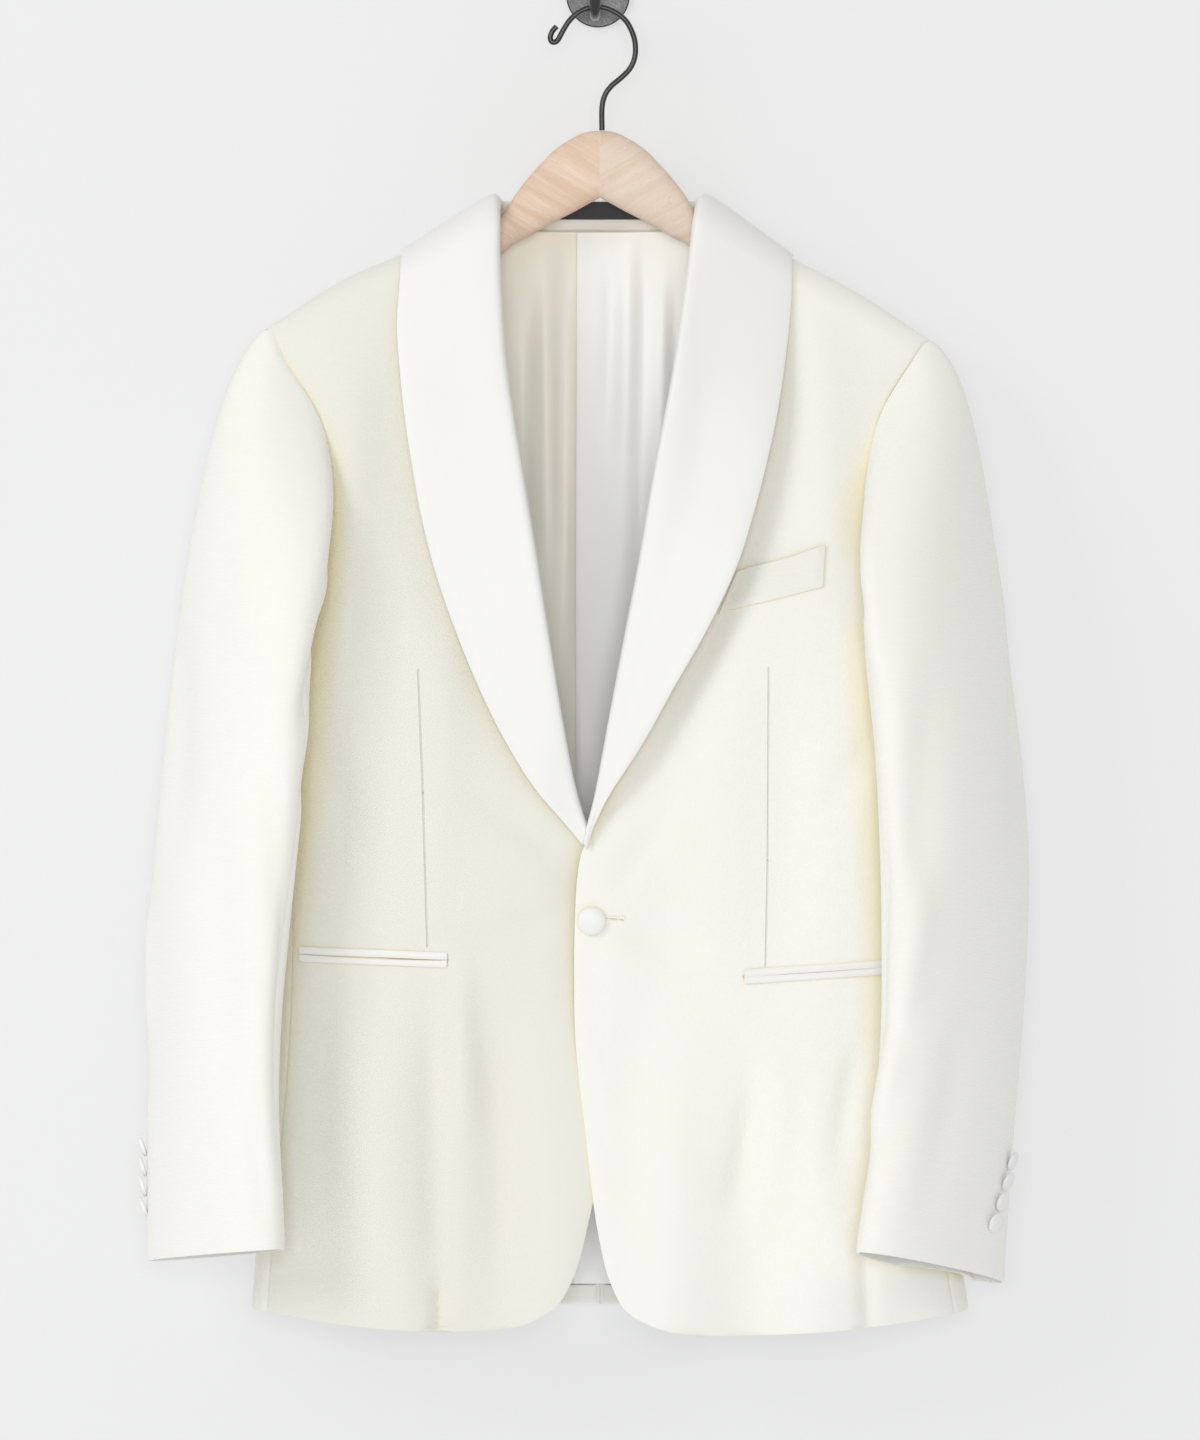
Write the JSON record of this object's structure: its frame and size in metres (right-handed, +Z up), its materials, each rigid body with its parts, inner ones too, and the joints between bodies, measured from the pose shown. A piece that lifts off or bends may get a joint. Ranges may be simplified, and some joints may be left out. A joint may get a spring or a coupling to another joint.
{
  "type": "tuxedo dinner jacket on a wooden hanger hung from a wall hook",
  "caption": "Ivory wool dinner jacket with a satin shawl collar, one button and jetted pockets, open in front below it, on a wooden hanger hung from a round black wall hook.",
  "frame": {"origin": "middle of the wall plate's back face, where the wall holds the part", "axes": "+Z up, +Y into the wall, +X towards the wearer's left; the jacket's front faces -Y"},
  "size_m": [0.627, 0.1716, 0.9666],
  "materials": {
    "wool": "fine matt ivory wool barathea",
    "satin": "softly shining off-white satin",
    "lining": "smooth off-white lining",
    "label": "black woven ribbon, bare",
    "beech": "clear satin varnish",
    "black_metal": "gloss black"
  },
  "bodies": {
    "root": {"back_left": "wool", "back_right": "wool", "breast_welt": "wool", "cuff_button_left_1": "satin", "cuff_button_left_2": "satin", "cuff_button_left_3": "satin", "cuff_button_left_4": "satin", "cuff_button_right_1": "satin", "cuff_button_right_2": "satin", "cuff_button_right_3": "satin", "cuff_button_right_4": "satin", "front_button": "satin", "front_left": "wool", "front_right": "wool", "hanger_hook": "black_metal", "hanger_left": "beech", "hanger_right": "beech", "hem_left": "wool", "hem_right": "wool", "lining_left": "lining", "lining_right": "lining", "neck_facing": "wool", "neck_label": "label", "pocket_jet_lower_left": "satin", "pocket_jet_lower_right": "satin", "pocket_jet_upper_left": "satin", "pocket_jet_upper_right": "satin", "shawl_left": "satin", "shawl_right": "satin", "side_left": "wool", "side_right": "wool", "top_sleeve_left": "wool", "top_sleeve_right": "wool", "under_sleeve_left": "wool", "under_sleeve_right": "wool", "wall_peg": "black_metal", "wall_plate": "black_metal"}
  },
  "joints": []
}
